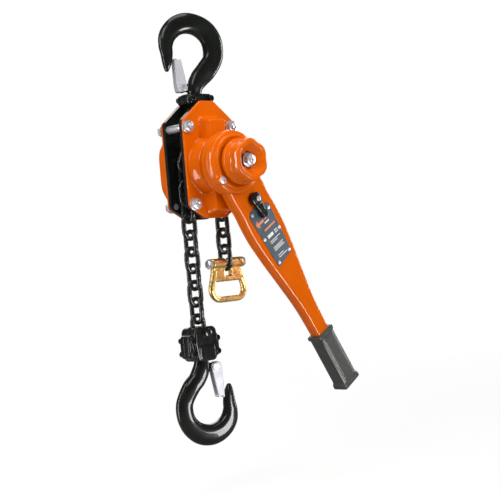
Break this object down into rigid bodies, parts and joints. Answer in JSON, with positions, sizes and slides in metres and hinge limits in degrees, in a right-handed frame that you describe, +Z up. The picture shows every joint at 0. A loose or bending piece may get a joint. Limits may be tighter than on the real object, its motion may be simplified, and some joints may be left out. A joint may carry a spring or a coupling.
{
  "type": "lever chain hoist",
  "caption": "Hand lever chain hoist with swivel top hook, ratchet lever, free-chaining knob, load chain, anchor block with load hook and an end ring.",
  "frame": {"origin": "crown of the top hook's saddle, where the hoist hangs", "axes": "+Z up along the top hook's shank, -Y towards the side of the lever and hand knob, +X to the right seen from that side"},
  "size_m": [0.2554, 0.14, 0.5451],
  "materials": {
    "orange_paint": "glossy orange powder coat",
    "black_paint": "glossy black enamel on forged steel",
    "black_chain": "black phosphated chain steel, oiled",
    "zinc": "bright zinc plate",
    "steel": "machined steel, lightly oiled",
    "friction": "moulded brake lining",
    "grip_rubber": "matt dark grey ribbed rubber",
    "brass": "yellow passivated casting with a brass tone",
    "label": "slate blue printed plate"
  },
  "bodies": {
    "top_hook": {"top_hook": "black_paint", "top_latch_pin": "zinc"},
    "top_latch": {"top_latch": "zinc"},
    "top_yoke": {"top_yoke_front": "black_paint", "top_yoke_rear": "black_paint"},
    "frame": {"front_side_plate": "black_paint", "rear_side_plate": "black_paint", "yoke_pin": "steel", "stay_bolt_left": "zinc", "stay_bolt_right": "zinc", "stay_bolt_bottom": "zinc", "cover_stud_front_left": "zinc", "cover_stud_front_right": "zinc", "cover_stud_rear_left": "zinc", "cover_stud_rear_right": "zinc", "brake_cover": "orange_paint", "gear_cover": "orange_paint", "chain_stripper": "steel"},
    "sheave": {"load_sheave": "steel", "load_gear": "steel", "sheave_chain": "black_chain"},
    "upper_gear": {"intermediate_gear_upper": "steel"},
    "lower_gear": {"intermediate_gear_lower": "steel"},
    "pinion": {"pinion_shaft": "steel", "brake_hub": "steel", "ratchet_disc": "steel", "friction_disc_inner": "friction", "friction_disc_outer": "friction", "change_gear": "steel", "shaft_nut": "zinc", "knob_spring": "steel"},
    "pawl_left": {"brake_pawl_left": "steel"},
    "pawl_right": {"brake_pawl_right": "steel"},
    "knob": {"hand_knob": "orange_paint"},
    "lever": {"lever_rear_shell": "orange_paint", "lever_front_shell": "orange_paint", "lever_grip": "grip_rubber", "name_plate": "label", "lever_case_screw_1": "zinc", "lever_case_screw_2": "zinc"},
    "selector": {"selector_lever": "black_paint", "drive_pawl": "steel"},
    "load_fall": {"load_chain_upper": "black_chain"},
    "load_links": {"load_link_05": "black_chain", "load_link_06": "black_chain", "load_link_07": "black_chain", "load_link_08": "black_chain", "load_link_09": "black_chain", "load_link_10": "black_chain"},
    "anchor": {"anchor_block_front": "black_paint", "anchor_block_rear": "black_paint", "anchor_pin": "black_paint"},
    "load_hook": {"load_hook": "black_paint", "load_latch_pin": "zinc"},
    "load_latch": {"load_latch": "zinc"},
    "tail_fall": {"tail_chain_upper": "black_chain"},
    "tail_links": {"tail_link_05": "black_chain", "tail_link_06": "black_chain"},
    "ring": {"end_ring": "brass", "end_ring_bolt": "zinc"}
  },
  "joints": [
    {"name": "top_hook_swivel", "type": "hinge", "parent": "top_hook", "child": "top_yoke", "pos_m": [0, 0, -0.084], "axis": [0, 0, 1], "continuous": true},
    {"name": "yoke_swing", "type": "hinge", "parent": "top_yoke", "child": "frame", "pos_m": [0, 0, -0.098], "axis": [0, 1, 0], "range_deg": [-10, 10]},
    {"name": "top_latch_hinge", "type": "hinge", "parent": "top_hook", "child": "top_latch", "pos_m": [-0.01503, 0.00547, -0.0686], "axis": [0.342, 0.9397, 0], "range_deg": [0, 35], "stiffness_Nm_per_rad": 0.03, "springref_deg": -34.38},
    {"name": "sheave_spin", "type": "hinge", "parent": "frame", "child": "sheave", "pos_m": [0, 0, -0.17], "axis": [0, 1, 0], "range_deg": [-18, 0]},
    {"name": "upper_gear_spin", "type": "hinge", "parent": "frame", "child": "upper_gear", "pos_m": [0, 0, -0.143], "axis": [0, 1, 0], "range_deg": [0, 54]},
    {"name": "lower_gear_spin", "type": "hinge", "parent": "frame", "child": "lower_gear", "pos_m": [0, 0, -0.197], "axis": [0, 1, 0], "range_deg": [0, 54]},
    {"name": "pinion_spin", "type": "hinge", "parent": "frame", "child": "pinion", "pos_m": [0, 0, -0.17], "axis": [0, 1, 0], "range_deg": [-162, 0]},
    {"name": "pawl_left_hinge", "type": "hinge", "parent": "frame", "child": "pawl_left", "pos_m": [-0.0275, 0, -0.162], "axis": [0, 1, 0], "range_deg": [0, 18], "stiffness_Nm_per_rad": 0.01, "springref_deg": -22.92},
    {"name": "pawl_right_hinge", "type": "hinge", "parent": "frame", "child": "pawl_right", "pos_m": [0.0275, 0, -0.162], "axis": [0, 1, 0], "range_deg": [-18, 0], "stiffness_Nm_per_rad": 0.01, "springref_deg": 22.92},
    {"name": "knob_pull", "type": "slide", "parent": "pinion", "child": "knob", "axis": [0, -1, 0], "range_m": [0, 0.004], "stiffness_N_per_m": 800, "springref_m": -0.002, "deforming": ["knob_spring"]},
    {"name": "lever_swing", "type": "hinge", "parent": "frame", "child": "lever", "pos_m": [0, 0, -0.17], "axis": [0, 1, 0], "continuous": true},
    {"name": "selector_turn", "type": "hinge", "parent": "lever", "child": "selector", "pos_m": [0.02781, 0, -0.21629], "axis": [0, 1, 0], "range_deg": [-35, 35]},
    {"name": "load_fall_slide", "type": "slide", "parent": "frame", "child": "load_fall", "axis": [0, 0, 1], "range_m": [-0.0086, 0]},
    {"name": "load_links_swing", "type": "hinge", "parent": "load_fall", "child": "load_links", "pos_m": [-0.02744, 0, -0.254], "axis": [0, 1, 0], "range_deg": [-2, 12]},
    {"name": "anchor_swing", "type": "hinge", "parent": "load_links", "child": "anchor", "pos_m": [-0.02744, 0, -0.37665], "axis": [0, 1, 0], "range_deg": [-12, 12]},
    {"name": "load_hook_swivel", "type": "hinge", "parent": "anchor", "child": "load_hook", "pos_m": [-0.02744, 0, -0.47015], "axis": [0, 0, 1], "continuous": true},
    {"name": "load_latch_hinge", "type": "hinge", "parent": "load_hook", "child": "load_latch", "pos_m": [-0.0124, -0.00547, -0.42015], "axis": [0.342, 0.9397, 0], "range_deg": [0, 35], "stiffness_Nm_per_rad": 0.03, "springref_deg": -34.38},
    {"name": "tail_fall_slide", "type": "slide", "parent": "frame", "child": "tail_fall", "axis": [0, 0, 1], "range_m": [0, 0.009]},
    {"name": "tail_links_swing", "type": "hinge", "parent": "tail_fall", "child": "tail_links", "pos_m": [0.02779, 0, -0.254], "axis": [0, 1, 0], "range_deg": [-12, 2]},
    {"name": "end_ring_swing", "type": "hinge", "parent": "tail_links", "child": "ring", "pos_m": [0.02779, 0, -0.29265], "axis": [1, 0, 0], "range_deg": [-35, 35]}
  ],
  "couplings": [
    {"joint": "sheave_spin", "follows": "load_fall_slide", "rad_per_m": 36.446},
    {"joint": "pinion_spin", "follows": "load_fall_slide", "rad_per_m": 328.01},
    {"joint": "upper_gear_spin", "follows": "load_fall_slide", "rad_per_m": -109.34},
    {"joint": "lower_gear_spin", "follows": "load_fall_slide", "rad_per_m": -109.34},
    {"joint": "tail_fall_slide", "follows": "load_fall_slide", "ratio": -1}
  ]
}
